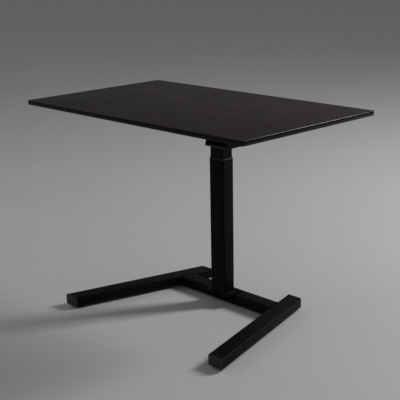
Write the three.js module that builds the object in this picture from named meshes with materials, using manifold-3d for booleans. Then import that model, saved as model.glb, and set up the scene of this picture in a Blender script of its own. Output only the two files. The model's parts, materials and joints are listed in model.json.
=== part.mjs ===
// A sit-stand desk on one gas-spring column: a splayed foot frame, a two-stage steel column,
// a steel under-frame and a laminated top, with a hand paddle that unlocks the gas spring.
// Millimetres. +Z is up, +X is to the user's right, and the user sits on the -Y side.
// The origin is on the floor below the middle of the top.
import * as THREE from "three";
import { mergeVertices } from "three/addons/utils/BufferGeometryUtils.js";
import Module from "manifold-3d";

const wasm = await Module();
wasm.setup();

// ---- Driving dimensions ----

const FIT = 0.3; // clearance between pieces that touch
const PASS = 0.4; // clearance of a bolt or pin in its hole, on the radius
const UNDERSIDE = 849; // height of the top's lower face, as it stands

const TOP = { width: 1200, depth: 710, thickness: 19, corner: 5, band: 2 };

const BASE = {
  topHeight: 51.5, // upper face of the feet and the crossbar
  tubeWidth: 68,
  tubeHeight: 42,
  wall: 2,
  corner: 5,
  crossbarY: 190.5, // centre line of the crossbar
  footX: 290.8, // centre line of a foot where it meets the crossbar's centre line
  footFrontY: -320,
  footRearY: 320,
  splay: THREE.MathUtils.degToRad(14.9),
};
const CAP = { plate: 3, plug: 14 };
const LEVELLER = { radius: 19, padHeight: 7, stem: 4, stemLength: 26, fromEnd: 36 };
const GUSSET = { length: 92, width: 46, thickness: 3 };

// The saddle: a plate under the column, with a flange on the crossbar's front face.
const SADDLE = {
  width: 130,
  plate: 6,
  flange: 5,
  flangeLift: 4, // the flange's lower edge above the crossbar's
  ahead: 5, // the plate reaches past the column's front face
  behind: 14.5, // and past the crossbar's centre line
  boltFromRear: 15,
  rib: 5,
  ribX: 32,
  ribDrop: 3,
  ribFoot: 12,
};

const COLUMN = {
  width: 80,
  depth: 60,
  wall: 2,
  corner: 6,
  slideGap: 1.5, // between the two stages
  y: 155, // the column's axis
  rim: 634, // upper end of the fixed stage with its collar
  collar: 5,
  innerLength: 576,
  glideLength: 45,
  glideLip: 3,
};

const SPRING = {
  radius: 14,
  wall: 1.8,
  length: 500,
  rod: 5,
  rodLength: 550,
  piston: 16,
  guide: 8,
  seatWall: 6,
  seatHeight: 14,
  seatFloor: 3,
  rodAbovePlate: 7,
  pin: 2,
  pinAboveRod: 4,
  pinLength: 16,
  pinTravel: 4,
  nut: { across: 17, height: 5 },
};

const HEAD = { width: 200, depth: 176, plate: 5, corner: 8, boltFromEnd: 26 };
const BEAM = { length: 860, width: 40, height: 25, wall: 2, corner: 3, offset: 62, notch: 9 };
const SIDE_BAR = { x: 400, width: 40, length: 500, thickness: 5, y: 30, corner: 4 };
const M8 = { radius: 4, head: 6.5, headHeight: 5, grip: 14, bite: 12 };
const M6 = { radius: 3, head: 5, headHeight: 3.5 };
const WOOD_SCREW = { radius: 2.2, head: 4.5, headHeight: 2.5, bite: 13, fromEnd: 22 };

const ROCKER = { pinArm: 14, cableArm: 11, hub: 5, thickness: 6, nose: 3, arm: 3, pivotRadius: 2 };
// The release bracket's floor runs from `ahead` of the column's axis to `behind` it.
const RELEASE_BASE = { width: 44, ahead: 27, behind: 31, thickness: 2.5, wall: 16, cheek: 2.5 };
const ADJUSTER = { radius: 3, ahead: 9, behind: 6, flange: 4.2, flangeThickness: 1.2 };
const WIRE = { radius: 0.75, nipple: 2.2, nippleLength: 8, slot: 2.6, inConduit: 12 };
const CONDUIT = { radius: 2.5, bore: 1.3, steps: 48 };
const CLIP = { width: 12, length: 18, thickness: 2 };

const PADDLE = {
  fromSide: 135, // middle of the paddle from the top's right edge
  fromFront: 55, // pivot from the top's front edge
  drop: 13, // pivot below the top's lower face
  width: 90,
  reach: 47,
  lipDrop: 7,
  thickness: 5,
  cableArm: 9,
  armWidth: 10,
  armDepth: 5,
  pivotRadius: 2.5,
  pinProud: 1.5,
};
// The housing's cheeks lean forward: `lean` is how far their lower corner is ahead of the roof.
const HOUSING = { thickness: 3, front: 37, lean: 6, lip: 19, rear: 30, height: 25, screwInset: 12 };

// ---- Sizes and places worked out from the driving dimensions ----

const tubeBottom = BASE.topHeight - BASE.tubeHeight;
const tubeMiddle = BASE.topHeight - BASE.tubeHeight / 2;
const crossbarFront = BASE.crossbarY - BASE.tubeWidth / 2;
const saddleTop = BASE.topHeight + FIT + SADDLE.plate;
const saddleFront = COLUMN.y - COLUMN.depth / 2 - SADDLE.ahead;
const saddleRear = BASE.crossbarY + SADDLE.behind;
const flangeFront = crossbarFront - FIT - SADDLE.flange;
const saddleBolt = { x: (COLUMN.width + SADDLE.width) / 4, y: saddleRear - SADDLE.boltFromRear };
const collarBottom = COLUMN.rim - COLUMN.collar;
const seatFloor = saddleTop + SPRING.seatFloor;
const sideBarBottom = -FIT - SIDE_BAR.thickness;
const beamTop = sideBarBottom - FIT;
const beamBottom = beamTop - BEAM.height;
const plateTop = beamBottom - FIT;
const plateBottom = plateTop - HEAD.plate;
const innerTop = plateBottom - FIT;
const rodTop = plateTop + SPRING.rodAbovePlate;
const pinTop = rodTop + SPRING.pinAboveRod;
const rockerZ = pinTop + FIT + ROCKER.nose;
const headCableZ = rockerZ + ROCKER.cableArm;
const rockerY = COLUMN.y + ROCKER.pinArm;
const adjusterWall = COLUMN.y - RELEASE_BASE.ahead;
const cavity = {
  width: COLUMN.width - 2 * COLUMN.wall,
  depth: COLUMN.depth - 2 * COLUMN.wall,
  corner: COLUMN.corner - COLUMN.wall,
};
const innerSize = {
  width: cavity.width - 2 * COLUMN.slideGap,
  depth: cavity.depth - 2 * COLUMN.slideGap,
  corner: cavity.corner - COLUMN.slideGap,
};
const innerBottom = innerTop - COLUMN.innerLength;
const paddleX = TOP.width / 2 - PADDLE.fromSide;
const paddleY = PADDLE.fromFront - TOP.depth / 2;
const pivotZ = -PADDLE.drop;
const paddleCableZ = pivotZ - PADDLE.cableArm;
const housingHalf = PADDLE.width / 2 + FIT + HOUSING.thickness;

// ---- Materials ----

const finish = (color, roughness, metalness) =>
  new THREE.MeshStandardMaterial({ color, roughness, metalness });
const laminate = finish(0x2a2626, 0.55, 0);
const edging = finish(0x0c0a0a, 0.5, 0);
const blackPowder = finish(0x100e0f, 0.62, 0.3);
const blackPlastic = finish(0x121212, 0.6, 0);
const zinc = finish(0x9a9c9e, 0.35, 1);
const blackBolt = finish(0x161616, 0.4, 0.8);
const chromed = finish(0xd0d2d4, 0.1, 1);
const rubber = finish(0x0e0e0e, 0.9, 0);

// ---- Solids ----

// A closed geometry as a solid that can be cut and joined.
function solid(geometry) {
  const bare = geometry.index ? geometry.toNonIndexed() : geometry.clone();
  bare.deleteAttribute("normal");
  bare.deleteAttribute("uv");
  const merged = mergeVertices(bare, 1e-4);
  return new wasm.Manifold(
    new wasm.Mesh({
      numProp: 3,
      vertProperties: merged.attributes.position.array,
      triVerts: new Uint32Array(merged.index.array),
    }),
  );
}

function geometryOf(made) {
  const mesh = made.getMesh();
  const geometry = new THREE.BufferGeometry();
  geometry.setAttribute("position", new THREE.BufferAttribute(mesh.vertProperties, 3));
  geometry.setIndex(new THREE.BufferAttribute(mesh.triVerts, 1));
  const flat = geometry.toNonIndexed();
  flat.computeVertexNormals();
  return flat;
}

const join = (...solids) => solids.reduce((a, b) => a.add(b));
const cut = (from, ...tools) => tools.reduce((a, b) => a.subtract(b), from);

function roundedRect(width, height, radius) {
  const x = width / 2 - radius;
  const y = height / 2 - radius;
  const shape = new THREE.Shape();
  shape.absarc(x, y, radius, 0, Math.PI / 2);
  shape.absarc(-x, y, radius, Math.PI / 2, Math.PI);
  shape.absarc(-x, -y, radius, Math.PI, 1.5 * Math.PI);
  shape.absarc(x, -y, radius, 1.5 * Math.PI, 2 * Math.PI);
  return shape;
}

// A solid bar of rounded rectangular section, standing on z0.
function bar(width, depth, radius, z0, z1) {
  const shape = roundedRect(width, depth, radius);
  return new THREE.ExtrudeGeometry(shape, {
    depth: z1 - z0,
    bevelEnabled: false,
    curveSegments: 3,
  }).translate(0, 0, z0);
}

// The same bar with a smaller bar cut right through it.
function sleeve(width, depth, radius, wall, z0, z1) {
  const outer = bar(width, depth, radius, z0, z1);
  const innerRadius = Math.max(radius - wall, 0.5);
  const inner = bar(width - 2 * wall, depth - 2 * wall, innerRadius, z0 - 1, z1 + 1);
  return solid(outer).subtract(solid(inner));
}

function block([x0, x1], [y0, y1], [z0, z1]) {
  const box = new THREE.BoxGeometry(x1 - x0, y1 - y0, z1 - z0);
  return solid(box.translate((x0 + x1) / 2, (y0 + y1) / 2, (z0 + z1) / 2));
}

function cylinder(from, to, radius, sides = 16) {
  const a = new THREE.Vector3(...from);
  const b = new THREE.Vector3(...to);
  const along = b.clone().sub(a);
  const turn = new THREE.Quaternion().setFromUnitVectors(
    new THREE.Vector3(0, 1, 0),
    along.clone().normalize(),
  );
  const geometry = new THREE.CylinderGeometry(radius, radius, along.length(), sides);
  geometry.applyQuaternion(turn);
  return solid(geometry.translate(...a.add(b).multiplyScalar(0.5)));
}

// A turned piece about a vertical axis: profile points are [radius, height], going up.
function turned(profile, sides = 20) {
  const points = profile.map(([r, z]) => new THREE.Vector2(r, z));
  return solid(new THREE.LatheGeometry(points, sides).rotateX(Math.PI / 2));
}

// A plate whose outline is drawn in the YZ plane, of a given thickness about x = 0.
function profilePlate(shape, thickness) {
  const geometry = new THREE.ExtrudeGeometry(shape, {
    depth: thickness,
    bevelEnabled: false,
    curveSegments: 5,
  });
  geometry.translate(0, 0, -thickness / 2);
  return solid(geometry.rotateY(Math.PI / 2).rotateX(Math.PI / 2));
}

// A round-headed bolt that points up: the head's upper face is at z = 0.
function bolt({ radius, head, headHeight }, length) {
  const profile = [
    [0, -headHeight],
    [head * 0.55, -headHeight],
    [head, -headHeight * 0.55],
    [head, 0],
    [radius, 0],
    [radius, length],
    [0, length],
  ];
  return turned(profile, 12);
}

const desk = new THREE.Group();
const base = new THREE.Group();
const column = new THREE.Group();
const lift = new THREE.Group();
column.position.y = COLUMN.y;
lift.position.z = UNDERSIDE;
desk.add(base, lift);
base.add(column);

function piece(parent, name, shape, material) {
  const mesh = new THREE.Mesh(geometryOf(shape), material);
  mesh.name = name;
  parent.add(mesh);
  return mesh;
}

const SIDES = [
  ["left", -1],
  ["right", 1],
];

// ---- Foot frame ----

const footAxisX = (y) => BASE.footX + (BASE.crossbarY - y) * Math.tan(BASE.splay);

// A straight bar along one foot's axis, much longer than the foot.
function footBar(side, inset, grow = 0) {
  const reach = BASE.footRearY - BASE.footFrontY;
  const geometry = bar(
    BASE.tubeWidth - 2 * inset + 2 * grow,
    BASE.tubeHeight - 2 * inset + 2 * grow,
    Math.max(BASE.corner - inset, 1),
    -reach,
    reach,
  );
  geometry.rotateX(Math.PI / 2);
  geometry.rotateZ(side * BASE.splay);
  geometry.translate(side * BASE.footX, BASE.crossbarY, tubeMiddle);
  return solid(geometry);
}

function between(y0, y1) {
  return block([-TOP.width, TOP.width], [y0, y1], [-TOP.width, TOP.width]);
}

function footTube(side) {
  const hollow = footBar(side, 0).subtract(footBar(side, BASE.wall));
  const gap = CAP.plate + FIT;
  const tube = hollow.intersect(between(BASE.footFrontY + gap, BASE.footRearY - gap));
  return cut(tube, ...levellerYs().map((y) => stemHole(side, y)));
}

const levellerYs = () => [BASE.footFrontY + LEVELLER.fromEnd, BASE.footRearY - LEVELLER.fromEnd];

function stemHole(side, y) {
  const x = side * footAxisX(y);
  return cylinder([x, y, tubeBottom - 1], [x, y, tubeBottom + BASE.wall + 1], LEVELLER.stem + PASS);
}

// A plastic cap: a plate over the tube's cut end and a plug inside it.
function footCap(side, end, inward) {
  const face = end + inward * CAP.plate;
  const tip = face + inward * CAP.plug;
  const plate = footBar(side, 0).intersect(between(Math.min(end, face), Math.max(end, face)));
  const plug = footBar(side, BASE.wall + FIT);
  return plate.add(plug.intersect(between(Math.min(end, tip) + 0.5, Math.max(end, tip) - 0.5)));
}

function levellingFoot() {
  const { radius, padHeight, stem, stemLength } = LEVELLER;
  return turned([
    [0, 0],
    [radius - 2, 0],
    [radius, 2],
    [radius, padHeight * 0.6],
    [radius * 0.4, padHeight],
    [radius * 0.4, tubeBottom - FIT],
    [stem, tubeBottom - FIT],
    [stem, stemLength],
    [0, stemLength],
  ]);
}

// The holes that the saddle's bolts pass through, one down and one back on each side.
function saddleBoltHoles() {
  return [-saddleBolt.x, saddleBolt.x].flatMap((x) => [
    cylinder(
      [x, saddleBolt.y, BASE.topHeight - BASE.wall - 1],
      [x, saddleBolt.y, saddleTop + 1],
      M8.radius + PASS,
    ),
    cylinder(
      [x, flangeFront - 1, tubeMiddle],
      [x, crossbarFront + BASE.wall + 1, tubeMiddle],
      M8.radius + PASS,
    ),
  ]);
}

function crossbar() {
  const half = BASE.footX;
  const tube = sleeve(BASE.tubeHeight, BASE.tubeWidth, BASE.corner, BASE.wall, -half, half);
  const lying = geometryOf(tube).rotateY(Math.PI / 2).translate(0, BASE.crossbarY, tubeMiddle);
  return cut(solid(lying), ...SIDES.map(([, side]) => footBar(side, 0, FIT)), ...saddleBoltHoles());
}

// A plate below the tubes that ties the crossbar to a foot.
function gusset(side) {
  const x = side * (BASE.footX - BASE.tubeWidth / 2);
  const top = tubeBottom - FIT;
  return block(
    [x - GUSSET.length / 2, x + GUSSET.length / 2],
    [BASE.crossbarY - GUSSET.width / 2, BASE.crossbarY + GUSSET.width / 2],
    [top - GUSSET.thickness, top],
  );
}

for (const [name, side] of SIDES) {
  piece(base, `foot_tube_${name}`, footTube(side), blackPowder);
  piece(base, `foot_cap_front_${name}`, footCap(side, BASE.footFrontY, 1), blackPlastic);
  piece(base, `foot_cap_rear_${name}`, footCap(side, BASE.footRearY, -1), blackPlastic);
  piece(base, `base_gusset_${name}`, gusset(side), blackPowder);
  levellerYs().forEach((y, i) => {
    const mesh = piece(base, `levelling_foot_${["front", "rear"][i]}_${name}`, levellingFoot(), rubber);
    mesh.position.set(side * footAxisX(y), y, 0);
  });
}
piece(base, "crossbar", crossbar(), blackPowder);

// ---- Column saddle: a plate on the crossbar with a flange down its front face ----

function saddle() {
  const across = [-SADDLE.width / 2, SADDLE.width / 2];
  const flangeBottom = tubeBottom + SADDLE.flangeLift;
  const plate = block(across, [saddleFront, saddleRear], [saddleTop - SADDLE.plate, saddleTop]);
  const flange = block(across, [flangeFront, crossbarFront - FIT], [flangeBottom, saddleTop - 1]);
  const ribs = [-SADDLE.ribX, SADDLE.ribX].map((x) => saddleRib(x));
  return cut(join(plate, flange, ...ribs, springSeat()), ...saddleBoltHoles());
}

// The cup on the saddle plate that the gas spring stands in.
function springSeat() {
  const outer = SPRING.radius + SPRING.seatWall;
  const rim = saddleTop + SPRING.seatHeight;
  const well = cylinder([0, COLUMN.y, seatFloor], [0, COLUMN.y, rim + 1], SPRING.radius + FIT, 32);
  return cylinder([0, COLUMN.y, saddleTop - 1], [0, COLUMN.y, rim], outer, 32).subtract(well);
}

// A triangular rib under the plate's front overhang.
function saddleRib(x) {
  const shape = new THREE.Shape([
    new THREE.Vector2(saddleFront + 1, saddleTop - 1),
    new THREE.Vector2(saddleFront + 1, saddleTop - SADDLE.plate - SADDLE.ribDrop),
    new THREE.Vector2(flangeFront + 1, tubeBottom + SADDLE.ribFoot),
    new THREE.Vector2(flangeFront + 1, saddleTop - 1),
  ]);
  return profilePlate(shape, SADDLE.rib).translate(x, 0, 0);
}

piece(base, "column_saddle", saddle(), blackPowder);

for (const [name, side] of SIDES) {
  const onTop = piece(base, `saddle_bolt_top_${name}`, bolt(M8, SADDLE.plate + M8.grip), blackBolt);
  onTop.rotation.x = Math.PI;
  onTop.position.set(side * saddleBolt.x, saddleBolt.y, saddleTop + FIT);
  const inFront = piece(base, `saddle_bolt_front_${name}`, bolt(M8, SADDLE.plate + M8.grip), blackBolt);
  inFront.rotation.x = -Math.PI / 2;
  inFront.position.set(side * saddleBolt.x, flangeFront - FIT, tubeMiddle);
}

// ---- Column ----

// A sleeve that fits the fixed stage's bore.
function boreSleeve(wall, z0, z1) {
  return sleeve(cavity.width - 2 * FIT, cavity.depth - 2 * FIT, cavity.corner - FIT, wall, z0, z1);
}

const glideWall = COLUMN.slideGap - 2 * FIT;

function upperGlide() {
  const hole = COLUMN.wall + COLUMN.slideGap - FIT;
  const collar = sleeve(COLUMN.width, COLUMN.depth, COLUMN.corner, hole, collarBottom, COLUMN.rim);
  return collar.add(boreSleeve(glideWall, collarBottom - COLUMN.glideLength, collarBottom + 1));
}

function innerColumn() {
  const { width, depth, corner } = innerSize;
  return sleeve(width, depth, corner, COLUMN.wall, innerBottom, innerTop);
}

function lowerGlide() {
  const lipTop = innerBottom - FIT;
  const lipBottom = lipTop - COLUMN.glideLip;
  const lip = boreSleeve(COLUMN.slideGap - FIT + COLUMN.wall, lipBottom, lipTop);
  return lip.add(boreSleeve(glideWall, lipBottom, lipTop + COLUMN.glideLength));
}

piece(
  column,
  "outer_column",
  sleeve(COLUMN.width, COLUMN.depth, COLUMN.corner, COLUMN.wall, saddleTop + FIT, collarBottom - FIT),
  blackPowder,
);
piece(column, "upper_glide", upperGlide(), blackPlastic);

const liftColumn = new THREE.Group();
liftColumn.position.y = COLUMN.y;
lift.add(liftColumn);
piece(liftColumn, "inner_column", innerColumn(), blackPowder);
piece(liftColumn, "lower_glide", lowerGlide(), blackPlastic);

// ---- Gas spring ----

const cylinderBottom = seatFloor + FIT;

function gasCylinder() {
  const { radius, wall, length, guide, rod } = SPRING;
  const top = cylinderBottom + length;
  return turned([
    [0, cylinderBottom],
    [radius - 1, cylinderBottom],
    [radius, cylinderBottom + 1],
    [radius, top - 1],
    [radius - 1, top],
    [rod + PASS, top],
    [rod + PASS, top - guide],
    [radius - wall, top - guide],
    [radius - wall, cylinderBottom + wall],
    [0, cylinderBottom + wall],
  ]);
}

function gasRod() {
  const { radius, wall, rod, rodLength, piston, pin, pinLength, pinTravel } = SPRING;
  const bottom = rodTop - rodLength;
  const pinBore = pinTop - pinLength - pinTravel;
  return turned([
    [0, bottom],
    [radius - wall - PASS, bottom],
    [radius - wall - PASS, bottom + piston],
    [rod, bottom + piston],
    [rod, rodTop - 0.8],
    [rod - 0.8, rodTop],
    [pin + PASS, rodTop],
    [pin + PASS, pinBore],
    [0, pinBore],
  ]);
}

function hexNut({ across, height }, bore) {
  const hex = new THREE.CylinderGeometry(across / Math.sqrt(3), across / Math.sqrt(3), height, 6);
  hex.rotateX(Math.PI / 2).translate(0, 0, height / 2);
  return solid(hex).subtract(cylinder([0, 0, -1], [0, 0, height + 1], bore));
}

function releasePin() {
  return cylinder([0, 0, pinTop - SPRING.pinLength], [0, 0, pinTop], SPRING.pin, 20);
}

piece(column, "gas_spring_cylinder", gasCylinder(), blackPowder);
piece(liftColumn, "gas_spring_rod", gasRod(), chromed);
piece(liftColumn, "release_pin", releasePin(), chromed);
for (const [name, z] of [
  ["rod_nut_upper", plateTop + FIT],
  ["rod_nut_lower", plateBottom - FIT - SPRING.nut.height],
]) {
  piece(liftColumn, name, hexNut(SPRING.nut, SPRING.rod + FIT), zinc).position.z = z;
}

// ---- Under-frame ----

const headBoltX = HEAD.width / 2 - HEAD.boltFromEnd;
const corners = [
  ["front_left", -1, -1],
  ["front_right", 1, -1],
  ["rear_left", -1, 1],
  ["rear_right", 1, 1],
];

function headPlate() {
  const plate = solid(bar(HEAD.width, HEAD.depth, HEAD.corner, plateBottom, plateTop));
  const rodHole = cylinder([0, 0, plateBottom - 1], [0, 0, plateTop + 1], SPRING.rod + PASS);
  const boltHoles = corners.map(([, sx, sy]) => {
    const at = [sx * headBoltX, sy * BEAM.offset];
    return cylinder([...at, plateBottom - 1], [...at, plateTop + 1], M8.radius + PASS);
  });
  return cut(plate, rodHole, ...boltHoles);
}

// A box beam along X, open at both ends, with holes for the bolts that reach up into it.
function beam(sy) {
  const half = BEAM.length / 2;
  const y = sy * BEAM.offset;
  const tube = geometryOf(sleeve(BEAM.height, BEAM.width, BEAM.corner, BEAM.wall, -half, half));
  tube.rotateY(Math.PI / 2).translate(0, y, (beamTop + beamBottom) / 2);
  const headHoles = [-headBoltX, headBoltX].map((x) =>
    cylinder([x, y, beamBottom - 1], [x, y, beamBottom + BEAM.wall + 1], M8.radius + PASS),
  );
  const sideHoles = [-SIDE_BAR.x, SIDE_BAR.x].map((x) =>
    cylinder([x, y, beamBottom - 1], [x, y, beamTop + 1], M6.radius + PASS),
  );
  const holed = cut(solid(tube), ...headHoles, ...sideHoles);
  return sy < 0 ? holed.subtract(cableNotch(y)) : holed;
}

// The release cable crosses the front beam through a notch in its upper wall.
function cableNotch(y) {
  const half = BEAM.notch / 2;
  const reach = BEAM.width / 2 + 1;
  const bottom = headCableZ - CONDUIT.radius - 1;
  return block([-half, half], [y - reach, y + reach], [bottom, beamTop + 1]);
}

// The top screw at a side bar's front end (sy = -1) or rear end (sy = 1).
const topScrewY = (sy) => SIDE_BAR.y + sy * (SIDE_BAR.length / 2 - WOOD_SCREW.fromEnd);

function sideBar(side) {
  const x = side * SIDE_BAR.x;
  const plate = bar(SIDE_BAR.width, SIDE_BAR.length, SIDE_BAR.corner, sideBarBottom, -FIT);
  plate.translate(x, SIDE_BAR.y, 0);
  const screwHoles = [-1, 1].map((sy) => {
    const y = topScrewY(sy);
    return cylinder([x, y, sideBarBottom - 1], [x, y, 1], WOOD_SCREW.radius + PASS);
  });
  const boltHoles = [-1, 1].map((sy) => {
    const y = COLUMN.y + sy * BEAM.offset;
    return cylinder([x, y, sideBarBottom - 1], [x, y, 1], M6.radius + PASS);
  });
  return cut(solid(plate), ...screwHoles, ...boltHoles);
}

piece(liftColumn, "head_plate", headPlate(), blackPowder);
piece(liftColumn, "beam_front", beam(-1), blackPowder);
piece(liftColumn, "beam_rear", beam(1), blackPowder);
for (const [name, side] of SIDES) piece(lift, `side_bar_${name}`, sideBar(side), blackPowder);

const sideBoltLength = BEAM.height + SIDE_BAR.thickness;
const topScrewLength = SIDE_BAR.thickness + WOOD_SCREW.bite;
for (const [name, sx, sy] of corners) {
  const headBolt = piece(liftColumn, `head_bolt_${name}`, bolt(M8, HEAD.plate + M8.bite), blackBolt);
  headBolt.position.set(sx * headBoltX, sy * BEAM.offset, plateBottom - FIT);
  const sideBolt = piece(liftColumn, `side_bolt_${name}`, bolt(M6, sideBoltLength), blackBolt);
  sideBolt.position.set(sx * SIDE_BAR.x, sy * BEAM.offset, beamBottom - FIT);
  const topScrew = piece(lift, `top_screw_${name}`, bolt(WOOD_SCREW, topScrewLength), zinc);
  topScrew.position.set(sx * SIDE_BAR.x, topScrewY(sy), sideBarBottom - FIT);
}

// ---- Top ----

function topPanel() {
  const inset = TOP.band + FIT;
  const panel = solid(
    bar(TOP.width - 2 * inset, TOP.depth - 2 * inset, TOP.corner - inset, 0, TOP.thickness),
  );
  const spots = corners.map(([, sx, sy]) => [sx * SIDE_BAR.x, topScrewY(sy)]);
  return cut(panel, ...[...spots, ...housingScrews()].map(([x, y]) => pilotHole(x, y)));
}

function pilotHole(x, y) {
  return cylinder([x, y, -1], [x, y, WOOD_SCREW.bite + 1], WOOD_SCREW.radius + PASS);
}

// ---- Release paddle and its housing, under the front edge on the right ----

function housingScrews() {
  const y = paddleY + HOUSING.rear / 2;
  return [-1, 1].map((side) => [paddleX + side * (PADDLE.width / 2 - HOUSING.screwInset), y]);
}

function housingCheek(side) {
  const { thickness, front, lean, lip, rear, height } = HOUSING;
  const outline = new THREE.Shape([
    new THREE.Vector2(rear, -FIT),
    new THREE.Vector2(-front, -FIT),
    new THREE.Vector2(-front - lean, -lip),
    new THREE.Vector2(-front * 0.4, -height),
    new THREE.Vector2(rear, -height),
  ]);
  return profilePlate(outline, thickness).translate(side * (housingHalf - thickness / 2), 0, 0);
}

function housing() {
  const t = HOUSING.thickness;
  const across = [-housingHalf + 1, housingHalf - 1];
  const roof = block(across, [-HOUSING.front, HOUSING.rear], [-FIT - t, -FIT]);
  const back = block(across, [HOUSING.rear - t, HOUSING.rear], [-HOUSING.height, -FIT]);
  const shell = join(roof, back, housingCheek(-1), housingCheek(1));
  const pivotHole = cylinder(
    [-housingHalf - 1, 0, pivotZ],
    [housingHalf + 1, 0, pivotZ],
    PADDLE.pivotRadius + FIT,
  );
  const wireHole = cylinder(
    [0, HOUSING.rear - t - 1, paddleCableZ],
    [0, HOUSING.rear + 1, paddleCableZ],
    CONDUIT.bore,
  );
  const screwHoles = housingScrews().map(([x, y]) => {
    const at = [x - paddleX, y - paddleY];
    return cylinder([...at, -FIT - t - 1], [...at, 1], WOOD_SCREW.radius + PASS);
  });
  return cut(shell, pivotHole, wireHole, ...screwHoles);
}

// The paddle's side outline, from the pivot boss to the drooping front lip.
function paddleOutline() {
  const half = PADDLE.thickness / 2;
  const shape = new THREE.Shape();
  shape.moveTo(0, half + 2);
  shape.lineTo(-PADDLE.reach * 0.5, half);
  shape.lineTo(-PADDLE.reach + 2, half - PADDLE.lipDrop + 1);
  shape.absarc(-PADDLE.reach + half, -PADDLE.lipDrop, half, Math.PI / 2, 1.5 * Math.PI);
  shape.lineTo(-PADDLE.reach * 0.5, -half);
  shape.lineTo(0, -half - 2);
  shape.absarc(0, 0, half + 2, -Math.PI / 2, Math.PI / 2);
  return shape;
}

function paddle() {
  const { width, cableArm, armWidth, armDepth, pivotRadius } = PADDLE;
  const wing = profilePlate(paddleOutline(), width);
  const arm = block(
    [-armWidth / 2, armWidth / 2],
    [-armDepth / 2, armDepth / 2],
    [-cableArm - 3, 0],
  );
  const slot = block(
    [-WIRE.slot / 2, WIRE.slot / 2],
    [-armDepth, armDepth],
    [-cableArm - 4, -cableArm + 2],
  );
  const bore = cylinder([-width, 0, 0], [width, 0, 0], pivotRadius + FIT);
  return cut(wing.add(arm), slot, bore);
}

// A bare end of the cable's inner wire: a barrel nipple at y = 0 and a wire that runs to `reach`.
function wireEnd(reach) {
  const half = WIRE.nippleLength / 2;
  const barrel = cylinder([-half, 0, 0], [half, 0, 0], WIRE.nipple, 16);
  return barrel.add(cylinder([0, 0, 0], [0, reach, 0], WIRE.radius, 12));
}

const paddleGroup = new THREE.Group();
paddleGroup.position.set(paddleX, paddleY, 0);
lift.add(paddleGroup);
piece(paddleGroup, "paddle_housing", housing(), blackPowder);
piece(paddleGroup, "release_paddle", paddle(), blackPlastic).position.z = pivotZ;
const paddlePinHalf = housingHalf + PADDLE.pinProud;
const paddlePin = cylinder([-paddlePinHalf, 0, pivotZ], [paddlePinHalf, 0, pivotZ], PADDLE.pivotRadius);
piece(paddleGroup, "paddle_pivot_pin", paddlePin, zinc);
const paddleNippleY = -PADDLE.armDepth / 2 - WIRE.nipple - FIT;
const paddleWire = wireEnd(HOUSING.rear + WIRE.inConduit - paddleNippleY);
piece(paddleGroup, "paddle_wire_end", paddleWire, zinc).position.set(0, paddleNippleY, paddleCableZ);
housingScrews().forEach(([x, y], i) => {
  const length = HOUSING.thickness + WOOD_SCREW.bite;
  const screw = piece(lift, `housing_screw_${["left", "right"][i]}`, bolt(WOOD_SCREW, length), zinc);
  screw.position.set(x, y, -2 * FIT - HOUSING.thickness);
});

// ---- Release mechanism on the head plate ----

const cheekInner = ROCKER.thickness / 2 + FIT;
const cheekOuter = cheekInner + RELEASE_BASE.cheek;
const bracketFloor = [plateTop + FIT, plateTop + FIT + RELEASE_BASE.thickness];

function releaseBracket() {
  const { width, thickness, wall } = RELEASE_BASE;
  const rear = COLUMN.y + RELEASE_BASE.behind;
  const plate = block([-width / 2, width / 2], [adjusterWall, rear], bracketFloor);
  const upright = block(
    [-wall / 2, wall / 2],
    [adjusterWall, adjusterWall + thickness],
    [bracketFloor[0], headCableZ + ADJUSTER.radius + 1],
  );
  const cheeks = [
    [-cheekOuter, -cheekInner],
    [cheekInner, cheekOuter],
  ].map((across) => {
    const margin = ROCKER.hub;
    return block(across, [rockerY - margin, rockerY + margin + 1], [bracketFloor[0], rockerZ + margin]);
  });
  return cut(join(plate, upright, ...cheeks), ...releaseBracketHoles());
}

// Round the rod's nut, for the cable's adjuster, and for the rocker's pivot.
function releaseBracketHoles() {
  const nutClearance = SPRING.nut.across / Math.sqrt(3) + 2 * FIT;
  return [
    cylinder([0, COLUMN.y, bracketFloor[0] - 1], [0, COLUMN.y, bracketFloor[1] + 1], nutClearance),
    cylinder(
      [0, adjusterWall - 1, headCableZ],
      [0, adjusterWall + RELEASE_BASE.thickness + 1, headCableZ],
      ADJUSTER.radius + FIT,
    ),
    cylinder(
      [-cheekOuter - 1, rockerY, rockerZ],
      [cheekOuter + 1, rockerY, rockerZ],
      ROCKER.pivotRadius + FIT,
    ),
  ];
}

// A bell crank about its pivot: a round nose over the release pin and an arm up to the cable.
function rocker() {
  const { pinArm, cableArm, hub, thickness, nose, pivotRadius } = ROCKER;
  const half = thickness / 2;
  const armHalf = ROCKER.arm / 2;
  const boss = cylinder([-half, 0, 0], [half, 0, 0], hub);
  const tip = cylinder([-half, -pinArm, 0], [half, -pinArm, 0], nose);
  const web = block([-half, half], [-pinArm, 0], [-2, nose]);
  const arm = block([-half, half], [-armHalf, armHalf], [0, cableArm + WIRE.nipple + 2 * FIT]);
  const slot = block([-WIRE.slot / 2, WIRE.slot / 2], [-3, 3], [cableArm - 2, cableArm + 4]);
  const bore = cylinder([-thickness, 0, 0], [thickness, 0, 0], pivotRadius + FIT);
  return cut(join(boss, tip, web, arm), slot, bore);
}

// A flanged sleeve that stands in the bracket's wall; the wall's front face is at height 0.
function cableAdjuster() {
  const { radius, ahead, behind, flange, flangeThickness } = ADJUSTER;
  const bore = WIRE.radius + PASS;
  const rear = RELEASE_BASE.thickness + behind;
  return turned([
    [bore, -ahead],
    [radius, -ahead],
    [radius, -FIT - flangeThickness],
    [flange, -FIT - flangeThickness],
    [flange, -FIT],
    [radius, -FIT],
    [radius, rear],
    [bore, rear],
    [bore, -ahead],
  ]);
}

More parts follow.
